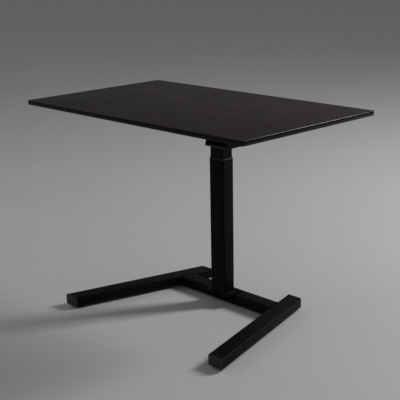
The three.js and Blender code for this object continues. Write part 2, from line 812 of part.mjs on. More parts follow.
piece(lift, "release_bracket", releaseBracket(), zinc);
piece(lift, "release_rocker", rocker(), zinc).position.set(0, rockerY, rockerZ);
const pinHalf = cheekOuter + PADDLE.pinProud;
const rockerPin = cylinder([-pinHalf, rockerY, rockerZ], [pinHalf, rockerY, rockerZ], ROCKER.pivotRadius);
piece(lift, "rocker_pivot_pin", rockerPin, zinc);
const adjuster = piece(lift, "cable_adjuster", cableAdjuster(), zinc);
adjuster.rotation.x = -Math.PI / 2;
adjuster.position.set(0, adjusterWall, headCableZ);
const headNippleY = rockerY + ROCKER.arm / 2 + WIRE.nipple + FIT;
const conduitHeadEnd = adjusterWall - ADJUSTER.ahead - FIT;
const headWire = wireEnd(conduitHeadEnd - WIRE.inConduit - headNippleY);
piece(lift, "head_wire_end", headWire, zinc).position.set(0, headNippleY, headCableZ);

// ---- Release cable: the conduit's route, just below the top ----

const conduitPaddleEnd = paddleY + HOUSING.rear + FIT;
const cableRoute = [
  [0, conduitHeadEnd, headCableZ],
  [0, 100, headCableZ],
  [0, 70, headCableZ],
  [2, 40, headCableZ],
  [14, 0, headCableZ],
  [44, -50, headCableZ],
  [90, -104, headCableZ],
  [150, -152, headCableZ],
  [220, -190, headCableZ],
  [300, -216, headCableZ],
  [360, -231, headCableZ],
  [400, -235, headCableZ - 1],
  [434, -236, headCableZ - 6],
  [456, -241, headCableZ - 13],
  [paddleX, conduitPaddleEnd + 12, paddleCableZ],
  [paddleX, conduitPaddleEnd, paddleCableZ],
].map((p) => new THREE.Vector3(...p));

function conduit() {
  const section = new THREE.Shape();
  section.absarc(0, 0, CONDUIT.radius, 0, 2 * Math.PI);
  const bore = new THREE.Path();
  bore.absarc(0, 0, CONDUIT.bore, 0, 2 * Math.PI, true);
  section.holes.push(bore);
  return solid(
    new THREE.ExtrudeGeometry(section, {
      steps: CONDUIT.steps,
      curveSegments: 4,
      extrudePath: new THREE.CatmullRomCurve3(cableRoute, false, "centripetal"),
    }),
  );
}

// A saddle clip over the conduit, in the clip's own frame: the conduit runs along its x axis.
function cableClip() {
  const { width, length, thickness } = CLIP;
  const drop = -headCableZ + CONDUIT.radius + FIT;
  const body = block([-width / 2, width / 2], [-length / 2, length / 2], [-drop - thickness, -FIT]);
  const half = CONDUIT.radius + FIT;
  return body.subtract(block([-width, width], [-half, half], [-drop, 1]));
}

piece(lift, "release_cable", conduit(), rubber);
for (const [name, index] of [
  ["cable_clip_1", 6],
  ["cable_clip_2", 8],
]) {
  const here = cableRoute[index];
  const along = cableRoute[index + 1].clone().sub(cableRoute[index - 1]);
  const clip = piece(lift, name, cableClip(), blackPlastic);
  clip.position.set(here.x, here.y, 0);
  clip.rotation.z = Math.atan2(along.y, along.x);
}

const edgeBand = sleeve(TOP.width, TOP.depth, TOP.corner, TOP.band, 0, TOP.thickness);
piece(lift, "top_panel", topPanel(), laminate);
piece(lift, "edge_band", edgeBand, edging);

export default desk;
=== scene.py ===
import json
import math

import bmesh
import bpy
from mathutils import Matrix, Vector


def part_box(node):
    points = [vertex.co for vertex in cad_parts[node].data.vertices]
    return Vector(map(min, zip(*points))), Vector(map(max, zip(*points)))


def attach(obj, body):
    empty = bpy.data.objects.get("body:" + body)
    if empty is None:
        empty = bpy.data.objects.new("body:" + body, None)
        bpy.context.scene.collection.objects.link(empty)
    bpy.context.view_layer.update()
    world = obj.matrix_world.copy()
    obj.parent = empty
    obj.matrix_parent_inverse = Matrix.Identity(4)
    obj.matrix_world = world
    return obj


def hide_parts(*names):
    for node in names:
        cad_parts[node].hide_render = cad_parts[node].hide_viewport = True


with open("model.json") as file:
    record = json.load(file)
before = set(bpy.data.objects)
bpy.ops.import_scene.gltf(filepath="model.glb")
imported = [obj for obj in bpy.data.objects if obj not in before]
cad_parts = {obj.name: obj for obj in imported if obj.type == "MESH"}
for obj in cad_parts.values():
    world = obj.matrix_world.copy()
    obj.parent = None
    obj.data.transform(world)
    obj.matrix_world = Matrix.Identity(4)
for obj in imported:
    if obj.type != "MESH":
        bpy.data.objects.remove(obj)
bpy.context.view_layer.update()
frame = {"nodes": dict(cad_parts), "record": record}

MM = 0.001
GAP = 0.3 * MM  # between pieces that touch
UP, DOWN, FORWARD = (0, 0, 1), (0, 0, -1), (0, -1, 0)
SIDE_SIGN = {"left": -1, "right": 1}
ENDS = ("front", "rear")
CORNERS = [f"{end}_{side}" for end in ENDS for side in SIDE_SIGN]

# ---- Camera: the photograph's viewpoint, in metres and degrees ----

CAMERA = {
    "position": (2.5868, -2.4642, 1.4974),
    "yaw": 46.033,
    "pitch": 15.83,
    "roll": -1.042,
    "focal": 83.735,
    "sensor": 36.0,
    "reach": 50,
}


def make_camera():
    yaw, pitch, roll = (math.radians(CAMERA[k]) for k in ("yaw", "pitch", "roll"))
    level = math.cos(pitch)
    forward = Vector((-math.sin(yaw) * level, math.cos(yaw) * level, -math.sin(pitch)))
    right = Vector((math.cos(yaw), math.sin(yaw), 0))
    up = right.cross(forward)
    x = right * math.cos(roll) + up * math.sin(roll)
    y = up * math.cos(roll) - right * math.sin(roll)
    data = bpy.data.cameras.new("camera")
    data.lens = CAMERA["focal"]
    data.sensor_width = CAMERA["sensor"]
    data.clip_end = CAMERA["reach"]
    camera = bpy.data.objects.new("camera", data)
    turn = Matrix((x, y, -forward)).transposed().to_4x4()
    camera.matrix_world = Matrix.Translation(CAMERA["position"]) @ turn
    bpy.context.collection.objects.link(camera)
    bpy.context.scene.camera = camera


# ---- Studio: lengths in metres, power in watts ----

SURROUND = {"color": (1.0, 0.965, 0.94, 1), "strength": 0.17}
KEY = {
    "place": (2.4, 4.1, 3.8),
    "aim": (0, 0.1, 0.5),
    "size": (0.9, 2.1),
    "power": 190,
    "color": (1.0, 0.96, 0.92),
}
FILL = {
    "place": (-3.2, -2.6, 2.6),
    "aim": (0, 0, 0.5),
    "size": (2.6, 2.6),
    "power": 18,
    "color": (1.0, 0.97, 0.95),
}
FLOOR_REACH = 30


def make_area(name, place, aim, size, power, color):
    data = bpy.data.lights.new(name, "AREA")
    data.shape = "RECTANGLE"
    data.size, data.size_y = size
    data.energy = power
    data.color = color
    light = bpy.data.objects.new(name, data)
    light.location = place
    light.rotation_euler = (Vector(aim) - Vector(place)).to_track_quat("-Z", "Y").to_euler()
    bpy.context.collection.objects.link(light)


def make_studio():
    world = bpy.data.worlds.new("studio")
    world.use_nodes = True
    background = world.node_tree.nodes["Background"]
    background.inputs["Color"].default_value = SURROUND["color"]
    background.inputs["Strength"].default_value = SURROUND["strength"]
    bpy.context.scene.world = world
    bpy.context.scene.view_settings.view_transform = "Standard"
    make_area("key", **KEY)
    make_area("fill", **FILL)

    far = FLOOR_REACH
    corners = [(-far, -far, 0), (far, -far, 0), (far, far, 0), (-far, far, 0)]
    mesh = bpy.data.meshes.new("floor")
    mesh.from_pydata(corners, [], [(0, 1, 2, 3)])
    mesh.materials.append(floor_material())
    floor = bpy.data.objects.new("floor", mesh)
    bpy.context.collection.objects.link(floor)


# ---- Materials ----

TONE = {
    "floor": ((0.60, 0.65, 0.66), (0.65, 0.70, 0.71)),
    "laminate": ((0.0160, 0.0128, 0.0122), (0.0200, 0.0160, 0.0152)),
    "laminate_fibre": (0.026, 0.023, 0.0225),
    "laminate_dust": (0.05, 0.047, 0.045),
    "edge_band": ((0.0032, 0.0027, 0.0026), (0.0050, 0.0042, 0.0040)),
    "edge_band_worn": (0.020, 0.018, 0.017),
    "powder": ((0.0030, 0.0026, 0.0027), (0.0046, 0.0041, 0.0042)),
    "powder_grain": (0.012, 0.011, 0.0115),
    "powder_rubbed": (0.03, 0.028, 0.028),
    "powder_scuffed": (0.024, 0.023, 0.024),
    "nylon": ((0.0065, 0.0065, 0.0065), (0.0095, 0.0095, 0.0095)),
    "rubber": ((0.006, 0.006, 0.006), (0.009, 0.0088, 0.0085)),
    "pvc": ((0.006, 0.006, 0.006), (0.009, 0.009, 0.009)),
    "chrome": ((0.56, 0.57, 0.58), (0.64, 0.65, 0.66)),
    "black_oxide": ((0.016, 0.016, 0.017), (0.03, 0.029, 0.029)),
    "zinc": ((0.36, 0.37, 0.385), (0.47, 0.475, 0.47)),
    "metal_worn": (0.55, 0.55, 0.56),
}
PLASTIC_WEAR = 3.5  # how much lighter a worn plastic edge is
CLOUD_LOW, CLOUD_HIGH = 0.3, 0.7  # most of a noise's values lie between these
FLAT, SHARP = 0.995, 0.85  # cosines between the rounded and the true normal
BEVEL_SAMPLES = 6


class Nodes:
    """A material's node tree, in object coordinates, which stay with the piece as it moves."""

    def __init__(self, name):
        self.material = bpy.data.materials.new(name)
        self.material.use_nodes = True
        self.tree = self.material.node_tree
        self.shader = self.tree.nodes["Principled BSDF"]
        self.place = self.tree.nodes.new("ShaderNodeTexCoord").outputs["Object"]

    def link(self, source, target):
        self.tree.links.new(source, target)

    def stretched(self, stretch):
        if stretch is None:
            return self.place
        node = self.tree.nodes.new("ShaderNodeMapping")
        node.inputs["Scale"].default_value = stretch
        self.link(self.place, node.inputs["Vector"])
        return node.outputs["Vector"]

    def noise(self, scale, detail=4, roughness=0.55, stretch=None):
        node = self.tree.nodes.new("ShaderNodeTexNoise")
        node.inputs["Scale"].default_value = scale
        node.inputs["Detail"].default_value = detail
        node.inputs["Roughness"].default_value = roughness
        self.link(self.stretched(stretch), node.inputs["Vector"])
        return node.outputs["Fac"]

    def cells(self, scale):
        node = self.tree.nodes.new("ShaderNodeTexVoronoi")
        node.inputs["Scale"].default_value = scale
        self.link(self.place, node.inputs["Vector"])
        return node.outputs["Distance"]

    def spread(self, value, low, high, low_to=0.0, high_to=1.0):
        node = self.tree.nodes.new("ShaderNodeMapRange")
        limits = {"From Min": low, "From Max": high, "To Min": low_to, "To Max": high_to}
        for name, number in limits.items():
            node.inputs[name].default_value = number
        self.link(value, node.inputs["Value"])
        return node.outputs["Result"]

    def cloud(self, scale, detail=4, to=(0.0, 1.0)):
        """A noise that fills the whole range `to`."""
        return self.spread(self.noise(scale, detail), CLOUD_LOW, CLOUD_HIGH, *to)

    def mixed(self, factor, a, b):
        node = self.tree.nodes.new("ShaderNodeMix")
        node.data_type = "RGBA"
        self.link(factor, node.inputs["Factor"])
        sockets = [socket for socket in node.inputs if socket.type == "RGBA"]
        for socket, value in zip(sockets, (a, b)):
            if isinstance(value, bpy.types.NodeSocket):
                self.link(value, socket)
            else:
                socket.default_value = (*value, 1)
        return next(socket for socket in node.outputs if socket.type == "RGBA")

    def summed(self, a, b, share):
        """a plus share times b."""
        node = self.tree.nodes.new("ShaderNodeMath")
        node.operation = "MULTIPLY_ADD"
        node.inputs[1].default_value = share
        self.link(b, node.inputs[0])
        self.link(a, node.inputs[2])
        return node.outputs[0]

    def edges(self, radius):
        """1 on sharp edges, 0 on flat faces: where a surface rubs."""
        bevel = self.tree.nodes.new("ShaderNodeBevel")
        bevel.samples = BEVEL_SAMPLES
        bevel.inputs["Radius"].default_value = radius
        geometry = self.tree.nodes.new("ShaderNodeNewGeometry")
        dot = self.tree.nodes.new("ShaderNodeVectorMath")
        dot.operation = "DOT_PRODUCT"
        self.link(bevel.outputs["Normal"], dot.inputs[0])
        self.link(geometry.outputs["Normal"], dot.inputs[1])
        return self.spread(dot.outputs["Value"], FLAT, SHARP)

    def bump(self, *layers):
        """Each layer is (height, distance in metres, strength); they are stacked in order."""
        normal = None
        for height, distance, strength in layers:
            node = self.tree.nodes.new("ShaderNodeBump")
            node.inputs["Distance"].default_value = distance
            node.inputs["Strength"].default_value = strength
            self.link(height, node.inputs["Height"])
            if normal is not None:
                self.link(normal, node.inputs["Normal"])
            normal = node.outputs["Normal"]
        self.link(normal, self.shader.inputs["Normal"])

    def finish(self, color, roughness, metallic=0.0, specular=0.5):
        self.link(color, self.shader.inputs["Base Color"])
        self.link(roughness, self.shader.inputs["Roughness"])
        self.shader.inputs["Metallic"].default_value = metallic
        self.shader.inputs["Specular IOR Level"].default_value = specular
        return self.material


def floor_material():
    n = Nodes("studio_floor")
    color = n.mixed(n.noise(1.3), *TONE["floor"])
    n.bump((n.noise(60, 3), 0.4 * MM, 0.2))
    return n.finish(color, n.cloud(5, to=(0.62, 0.7)))


def laminate_material():
    """Charcoal melamine: a faint warm mottle, a fine pearl texture, hand smudges in the gloss."""
    n = Nodes("charcoal_laminate")
    base = n.mixed(n.cloud(7, 6), *TONE["laminate"])
    fibre = n.spread(n.noise(1400, 2, stretch=(0.06, 1, 1)), 0.52, 0.75)
    base = n.mixed(fibre, base, TONE["laminate_fibre"])
    dust = n.spread(n.cells(260), 0.07, 0.03)
    base = n.mixed(dust, base, TONE["laminate_dust"])
    smudge = n.spread(n.noise(4.5, 5, 0.6), 0.35, 0.68, 0.50, 0.60)
    roughness = n.summed(smudge, n.noise(900, 2), 0.05)
    n.bump((n.noise(420, 4), 0.2 * MM, 0.45), (n.cells(1300), 0.14 * MM, 0.45))
    return n.finish(base, roughness, specular=0.25)


def edge_band_material():
    """Smooth plastic edging, a little greyer where it has been knocked."""
    n = Nodes("black_abs_edge")
    base = n.mixed(n.noise(30), *TONE["edge_band"])
    worn = n.mixed(n.edges(0.6 * MM), base, TONE["edge_band_worn"])
    n.bump((n.noise(1100, 3), 0.12 * MM, 0.4))
    return n.finish(worn, n.cloud(40, to=(0.18, 0.25)), specular=0.18)


def powder_material(name="black_powder_coat", streaks=0.0):
    """Fine-textured powder coat: orange peel over a fine grain, its edges rubbed a little grey."""
    n = Nodes(name)
    base = n.mixed(n.cloud(18, 5), *TONE["powder"])
    grain = n.spread(n.noise(2600, 2), 0.55, 0.8)
    base = n.mixed(grain, base, TONE["powder_grain"])
    patchy = n.spread(n.noise(90, 3), 0.35, 0.65, -0.6, 0.0)
    rub = n.spread(n.summed(n.edges(0.9 * MM), patchy, 1.0), 0, 1, 0, 0.55)
    base = n.mixed(rub, base, TONE["powder_rubbed"])
    roughness = n.cloud(25, to=(0.46, 0.58))
    if streaks:
        scuff = n.spread(n.noise(240, 3, stretch=(1, 1, 0.012)), 0.56, 0.72, 0.0, streaks)
        base = n.mixed(scuff, base, TONE["powder_scuffed"])
        roughness = n.summed(roughness, scuff, -0.25)
    n.bump((n.noise(480, 3), 0.4 * MM, 0.6), (n.noise(1700, 2), 0.22 * MM, 0.6))
    return n.finish(base, roughness, specular=0.08)


def plastic_material(name, tone, grain=1500, rough=(0.5, 0.62)):
    """Spark-eroded moulded plastic."""
    n = Nodes(name)
    base, light = TONE[tone]
    color = n.mixed(n.noise(40), base, light)
    wear = n.spread(n.edges(0.6 * MM), 0, 1, 0, 0.5)
    worn = n.mixed(wear, color, tuple(PLASTIC_WEAR * c for c in light))
    n.bump((n.cells(grain), 0.2 * MM, 0.5), (n.noise(grain / 4, 3), 0.1 * MM, 0.3))
    return n.finish(worn, n.cloud(60, to=rough))


def metal_material(name, tone, rough, stretch=(1, 1, 1), scale=300):
    """Plated or oxidised steel: cloudy plating, fine drawn grain, wear on the edges."""
    n = Nodes(name)
    color = n.mixed(n.cloud(60, 5), *TONE[tone])
    wear = n.spread(n.edges(0.4 * MM), 0, 1, 0, 0.4)
    worn = n.mixed(wear, color, TONE["metal_worn"])
    grain = n.noise(scale, 3, stretch=stretch)
    n.bump((grain, 0.05 * MM, 0.35))
    roughness = n.summed(n.cloud(80, to=rough), grain, 0.08)
    return n.finish(worn, roughness, metallic=1.0)


def make_materials():
    drawn = (1, 1, 0.02)
    return {
        "top_laminate": laminate_material(),
        "edge_band": edge_band_material(),
        "black_powder_coat": powder_material(),
        "sliding_powder": powder_material("black_powder_coat_slid", streaks=0.5),
        "black_plastic": plastic_material("black_nylon", "nylon"),
        "foot_pad": plastic_material("black_rubber", "rubber", 700, (0.75, 0.9)),
        "cable_jacket": plastic_material("black_pvc", "pvc", 2200, (0.36, 0.46)),
        "rod_chrome": metal_material("hard_chrome", "chrome", (0.06, 0.14), drawn, 900),
        "black_bolt": metal_material("black_oxide", "black_oxide", (0.3, 0.42)),
        "zinc_steel": metal_material("bright_zinc", "zinc", (0.26, 0.4)),
    }


make_camera()
make_studio()
MATERIAL = make_materials()
SLOT_OF = {p["node"]: p["material_slot"] for p in frame["record"]["subparts"]}
BODIES = frame["record"]["behaviour"]["bodies"]
BODY_OF = {node: body for body, nodes in BODIES.items() for node in nodes}


# ---- Building pieces ----

SMALLEST_CORNER = 0.3 * MM
WELDED = 1e-5  # vertices closer than this, in metres, are one
TURNED_ANGLE = 35  # turned pieces keep edges over this many degrees crisp


def place_piece(name, mesh, node=None, body=None, material=None, slot=None):
    """Puts a finished mesh in the scene. `node` is the CAD node that it stands for."""
    slot = slot or SLOT_OF[node]
    mesh.materials.clear()
    mesh.materials.append(MATERIAL[material or slot])
    piece = bpy.data.objects.new(name, mesh)
    bpy.context.collection.objects.link(piece)
    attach(piece, body or BODY_OF[node])
    if node:
        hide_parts(node)


def mesh_from(bm, name, smooth_angle=40):
    """A shaded mesh: faces smooth, edges sharper than the angle kept crisp."""
    bmesh.ops.recalc_face_normals(bm, faces=bm.faces)
    limit = math.radians(smooth_angle)
    for face in bm.faces:
        face.smooth = True
    for edge in bm.edges:
        edge.smooth = len(edge.link_faces) == 2 and edge.calc_face_angle(0) < limit
    mesh = bpy.data.meshes.new(name)
    bm.to_mesh(mesh)
    bm.free()
    return mesh


def add_loops(bm, rings, closed=False):
    """Skins rings of equal length one after another; closed joins the last ring to the first."""
    rows = [[bm.verts.new(p) for p in ring] for ring in rings]
    pairs = list(zip(rows, rows[1:])) + ([(rows[-1], rows[0])] if closed else [])
    for a, b in pairs:
        for i in range(len(a)):
            j = (i + 1) % len(a)
            bm.faces.new((a[i], a[j], b[j], b[i]))
    if not closed:
        bm.faces.new(rows[0][::-1])
        bm.faces.new(rows[-1])


def skinned(name, rings, closed=False, smooth_angle=40):
    bm = bmesh.new()
    add_loops(bm, rings, closed)
    return mesh_from(bm, name, smooth_angle)


def round_edges(bm, edges, offset, segments):
    bmesh.ops.bevel(
        bm,
        geom=edges,
        offset=offset,
        segments=segments,
        profile=0.5,  # round
        affect="EDGES",
        clamp_overlap=True,
    )


def turns(count):
    return [2 * math.pi * i / count for i in range(count)]


def circle(radius, sides):
    """Points round a circle, anticlockwise from the first axis."""
    return [(radius * math.cos(a), radius * math.sin(a)) for a in turns(sides)]


def rounded_rect(width, height, radius, steps=6):
    """Points round a rectangle with round corners, anticlockwise, centred on 0, 0."""
    radius = min(radius, width / 2 - WELDED, height / 2 - WELDED)
    points = []
    for k, (sx, sy) in enumerate(((1, 1), (-1, 1), (-1, -1), (1, -1))):
        for i in range(steps + 1):
            a = math.pi / 2 * (k + i / steps)
            x = sx * (width / 2 - radius) + radius * math.cos(a)
            y = sy * (height / 2 - radius) + radius * math.sin(a)
            points.append((x, y))
    return points


def edge_arc(edge, steps=3, power=1):
    """(inset, depth) pairs that ease an edge, from the end face to the side.

    A power of 1 makes it round, and 2 a plain chamfer.
    """
    quarter = [math.pi / 2 * i / steps for i in range(steps + 1)]
    return [(edge * (1 - math.sin(a) ** power), edge * (1 - math.cos(a) ** power)) for a in quarter]


def both_ends(arc, length):
    """The levels of a bar whose two ends are eased alike."""
    return arc + [(inset, length - depth) for inset, depth in reversed(arc)]


def far_end(arc, inset, length):
    """The levels of one eased end at `length`, on a side that stands in by `inset`."""
    return [(inset + more, length - depth) for more, depth in reversed(arc)]


def section_rings(size, corner, levels, to_space, steps=8, smallest=SMALLEST_CORNER):
    """A rounded rectangle at each (inset, along) level; to_space takes (u, v, along)."""
    width, height = size
    rings = []
    for inset, along in levels:
        radius = max(corner - inset, smallest)
        section = rounded_rect(width - 2 * inset, height - 2 * inset, radius, steps)
        rings.append([to_space(u, v, along) for u, v in section])
    return rings


def along_z(x, y, z=0):
    return lambda u, v, t: (x + u, y + v, z + t)


def centre_of(node):
    low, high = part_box(node)
    return [(a + b) / 2 for a, b in zip(low, high)]


def size_of(node):
    low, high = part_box(node)
    return [b - a for a, b in zip(low, high)]


def lathe(bm, profile, turn, sides):
    """Revolves (radius, height) points; turn places the result. Ends with no radius are closed."""
    rows = []
    for radius, height in profile:
        ring = circle(radius, sides) if radius else [(0, 0)]
        rows.append([bm.verts.new(turn @ Vector((x, y, height))) for x, y in ring])
    for a, b in zip(rows, rows[1:]):
        for i in range(sides):
            j = (i + 1) % sides
            if len(a) == 1:
                bm.faces.new((a[0], b[j], b[i]))
            elif len(b) == 1:
                bm.faces.new((a[i], a[j], b[0]))
            else:
                bm.faces.new((a[i], a[j], b[j], b[i]))


def turned(name, profile, turn, sides, smooth_angle=TURNED_ANGLE):
    bm = bmesh.new()
    lathe(bm, profile, turn, sides)
    return mesh_from(bm, name, smooth_angle)


def filleted(profile, radius, steps=3):
    """Rounds each inner corner of a (radius, height) profile."""
    share = 0.45  # of the shorter side next to a corner, at most
    points = [profile[0]]
    for before, here, after in zip(profile, profile[1:], profile[2:]):
        a, b, c = Vector(before), Vector(here), Vector(after)
        reach = min(radius, (a - b).length * share, (c - b).length * share)
        start, end = b + (a - b).normalized() * reach, b + (c - b).normalized() * reach
        for i in range(steps + 1):
            t = i / steps
            points.append(tuple((1 - t) ** 2 * start + 2 * t * (1 - t) * b + t * t * end))
    return points + [profile[-1]]


def thread(start, end, root, crest, pitch, root_at, crest_at):
    """Profile points of a thread drawn as rings; root_at and crest_at are heights within a turn."""
    points = []
    z = start
    while z < end:
        points += [(root, z + root_at), (crest, z + crest_at)]
        z += pitch
    return points


def softened_copy(node, edge=0.35 * MM, segments=2, angle=28):
    """A finer copy of a CAD piece: flat faces merged, sharp edges rounded."""
    bm = bmesh.new()
    bm.from_mesh(frame["nodes"][node].data)
    bmesh.ops.remove_doubles(bm, verts=bm.verts, dist=WELDED)
    bmesh.ops.dissolve_limit(bm, angle_limit=math.radians(1), verts=bm.verts, edges=bm.edges)
    limit = math.radians(angle)
    sharp = [e for e in bm.edges if len(e.link_faces) == 2 and e.calc_face_angle(0) > limit]
    round_edges(bm, sharp, edge, segments)
    bmesh.ops.triangulate(bm, faces=[f for f in bm.faces if len(f.verts) > 4])
    name = f"fine_{node}"
    place_piece(name, mesh_from(bm, name, 25), node)


# ---- Top ----

BAND = 2 * MM
TOP_CORNER = 5 * MM
BOARD_EDGE = 0.25 * MM
BAND_EDGE = 1.8 * MM
BAND_POWER = 1.5
BAND_SHY = 0.1 * MM  # the band's back stops this short of the board's faces


def build_top():
    low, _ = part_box("edge_band")
    width, depth, thickness = size_of("edge_band")
    space = along_z(0, 0, low[2])
    levels = both_ends(edge_arc(BOARD_EDGE), thickness)
    rings = section_rings((width - 2 * BAND, depth - 2 * BAND), TOP_CORNER - BAND, levels, space)
    place_piece("desk_top_board", skinned("desk_top_board", rings), "top_panel")

    levels = both_ends(edge_arc(BAND_EDGE, 8, BAND_POWER), thickness)
    levels += [(BAND, thickness - BAND_SHY), (BAND, BAND_SHY)]
    rings = section_rings((width, depth), TOP_CORNER, levels, space)
    place_piece("desk_top_edge", skinned("desk_top_edge", rings, closed=True), "edge_band")


# ---- Welds ----

WELD_STEP = 1.1 * MM
WELD_ARC = 6
WELD_RIPPLES = ((0.10, 1.15, 0), (0.06, 0.37, 1))  # share of the bead, turn per step, phase


def weld_bead(name, path, along, bead, body):
    """A fillet weld: a rippled quarter-round bead along a closed path.

    The path is (point, outward direction) pairs.
    """
    dense = []
    for (p0, n0), (p1, n1) in zip(path, path[1:] + path[:1]):
        count = max(1, int((p1 - p0).length / WELD_STEP))
        steps = [i / count for i in range(count)]
        dense += [(p0.lerp(p1, t), n0.lerp(n1, t).normalized()) for t in steps]
    sizes = []
    for i in range(len(dense)):
        ripple = sum(share * math.sin(i * turn + phase) for share, turn, phase in WELD_RIPPLES)
        sizes.append(bead * (1 + ripple))
    rings = [
        [p + out * size * out_by + along * size * along_by for (p, out), size in zip(dense, sizes)]
        for out_by, along_by in edge_arc(1, WELD_ARC)
    ]
    buried = WELD_STEP / 2
    rings.append([point - out * buried + along * bead for point, out in dense])
    rings.append([point - out * buried for point, out in dense])
    mesh = skinned(name, rings, closed=True, smooth_angle=60)
    place_piece(name, mesh, body=body, slot="black_powder_coat")


def outline_path(width, height, radius, to_space):
    """A rounded rectangle as (point, outward direction) pairs; to_space takes (u, v)."""
    beyond = 1 * MM
    inner = rounded_rect(width, height, radius)
    outer = rounded_rect(width + 2 * beyond, height + 2 * beyond, radius + beyond)
    pairs = [(Vector(to_space(*a)), Vector(to_space(*b))) for a, b in zip(inner, outer)]
    return [(a, (b - a).normalized()) for a, b in pairs]


# ---- Column ----

COLUMN_WALL = 2 * MM
COLUMN_BEAD = 3 * MM
OUTER_CORNER = 6 * MM
INNER_CORNER = 2.6 * MM
TUBE_EDGE = 0.4 * MM
COLLAR_GAP = 0.25 * MM  # between the collar and the inner column
COLLAR_SKIRT = 1.25 * MM
COLLAR_CORNER = 1 * MM
COLLAR_EDGE = 1.2 * MM
COLLAR_LEAD = (0.4 * MM, 0.5 * MM)  # the chamfer that leads the inner column in


def upright_tube(name, node, corner, material=None):
    low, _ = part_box(node)
    (width, depth, height), (x, y, _) = size_of(node), centre_of(node)
    outside = both_ends(edge_arc(TUBE_EDGE, 2), height)
    inside = [(COLUMN_WALL - inset, along) for inset, along in reversed(outside)]
    rings = section_rings((width, depth), corner, outside + inside, along_z(x, y, low[2]))
    place_piece(name, skinned(name, rings, closed=True), node, material=material)


def build_collar():
    low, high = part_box("upper_glide")
    (width, depth, _), (x, y, _) = size_of("upper_glide"), centre_of("upper_glide")
    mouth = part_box("outer_column")[1][2]
    hole = (width - size_of("inner_column")[0]) / 2 - COLLAR_GAP
    skirt = hole - COLLAR_SKIRT
    lead, lead_depth = COLLAR_LEAD
    levels = [(hole, low[2]), (skirt, low[2]), (skirt, mouth), (0, mouth)]
    levels += far_end(edge_arc(COLLAR_EDGE, 4), 0, high[2])
    levels += [(hole - lead, high[2]), (hole, high[2] - lead_depth)]
    space = along_z(x, y)
    rings = section_rings((width, depth), OUTER_CORNER, levels, space, smallest=COLLAR_CORNER)
    place_piece("column_collar", skinned("column_collar", rings, closed=True), "upper_glide")


def column_weld(name, node, corner, z, along, body):
    (width, depth, _), (x, y, _) = size_of(node), centre_of(node)
    path = outline_path(width, depth, corner, lambda u, v: (x + u, y + v, z))
    weld_bead(name, path, Vector(along), COLUMN_BEAD, body)


def build_column():
    upright_tube("column_outer_tube", "outer_column", OUTER_CORNER)
    upright_tube("column_inner_tube", "inner_column", INNER_CORNER, material="sliding_powder")
    build_collar()
    softened_copy("lower_glide")
    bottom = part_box("outer_column")[0][2] - GAP
    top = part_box("inner_column")[1][2] + GAP
    column_weld("weld_column_foot", "outer_column", OUTER_CORNER, bottom, UP, "base")
    column_weld("weld_column_head", "inner_column", INNER_CORNER, top, DOWN, "lift")


# ---- Foot frame ----

FOOT_SPLAY = math.radians(14.9)
FOOT_AXIS = 290.8 * MM  # from the desk's middle to each foot's axis, at the crossbar
CROSSBAR_CORNER = 5 * MM
CROSSBAR_BEAD = 2.4 * MM
BEAD_SUNK = 0.6 * MM  # keeps the bead below the crossbar's upper face
PAD_TOP = 7 * MM
PAD_HOLLOW = 0.6 * MM
PAD_RIM = 2 * MM
PAD_WAIST, PAD_NECK, PAD_HOLLOW_RIM = 0.55, 0.4, 0.62  # shares of the pad's radius
PAD_SHOULDER = 0.55  # share of the pad's height where its slope starts
PAD_FILLET = 0.8 * MM
STEM_CHAMFER = (0.8 * MM, 1.2 * MM)
STEM = 4 * MM
STEM_THREAD = {
    "root": 3.4 * MM,
    "crest": STEM,
    "pitch": 1.25 * MM,
    "root_at": 0.3 * MM,
    "crest_at": 0.9 * MM,
}


def crossbar_welds():
    """The beads where the crossbar meets the slanted inner face of each foot."""
    _, y, z = centre_of("crossbar")
    _, depth, height = size_of("crossbar")
    slope = math.tan(FOOT_SPLAY)
    face = FOOT_AXIS - depth / 2 / math.cos(FOOT_SPLAY) - GAP
    for side, sign in SIDE_SIGN.items():
        path = outline_path(
            depth,
            height - BEAD_SUNK,
            CROSSBAR_CORNER,
            lambda u, v: (sign * (face - u * slope), y + u, z + v - BEAD_SUNK / 2),
        )
        if sign < 0:
            path.reverse()
        weld_bead(f"weld_crossbar_{side}", path, Vector((-sign, 0, 0)), CROSSBAR_BEAD, "base")


def levelling_foot(node):
    x, y, _ = centre_of(node)
    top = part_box(node)[1][2]
    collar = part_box("foot_tube_left")[0][2] - GAP
    radius = size_of(node)[0] / 2
    waist, neck = radius * PAD_WAIST, radius * PAD_NECK
    chamfer, chamfer_depth = STEM_CHAMFER
    profile = [(0, PAD_HOLLOW), (waist, PAD_HOLLOW), (radius * PAD_HOLLOW_RIM, 0)]
    profile += [(radius - PAD_RIM, 0), (radius, PAD_RIM), (radius, PAD_TOP * PAD_SHOULDER)]
    profile += [(waist, PAD_TOP - PAD_FILLET), (neck, PAD_TOP), (neck, collar), (STEM, collar)]
    body = filleted(profile, PAD_FILLET) + thread(collar, top - chamfer_depth, **STEM_THREAD)
    body += [(STEM - chamfer, top), (0, top)]
    place_piece(f"fine_{node}", turned(node, body, Matrix.Translation((x, y, 0)), 48), node)


def build_foot_frame():
    for side in SIDE_SIGN:
        softened_copy(f"foot_tube_{side}", edge=0.6 * MM, segments=3, angle=45)
        softened_copy(f"base_gusset_{side}", edge=0.8 * MM)
        for end in ENDS:
            softened_copy(f"foot_cap_{end}_{side}", edge=0.8 * MM, segments=3, angle=45)
            levelling_foot(f"levelling_foot_{end}_{side}")
    softened_copy("crossbar", edge=0.6 * MM, segments=3, angle=45)
    crossbar_welds()
    softened_copy("column_saddle", edge=0.9 * MM, segments=3)


# ---- Fasteners ----

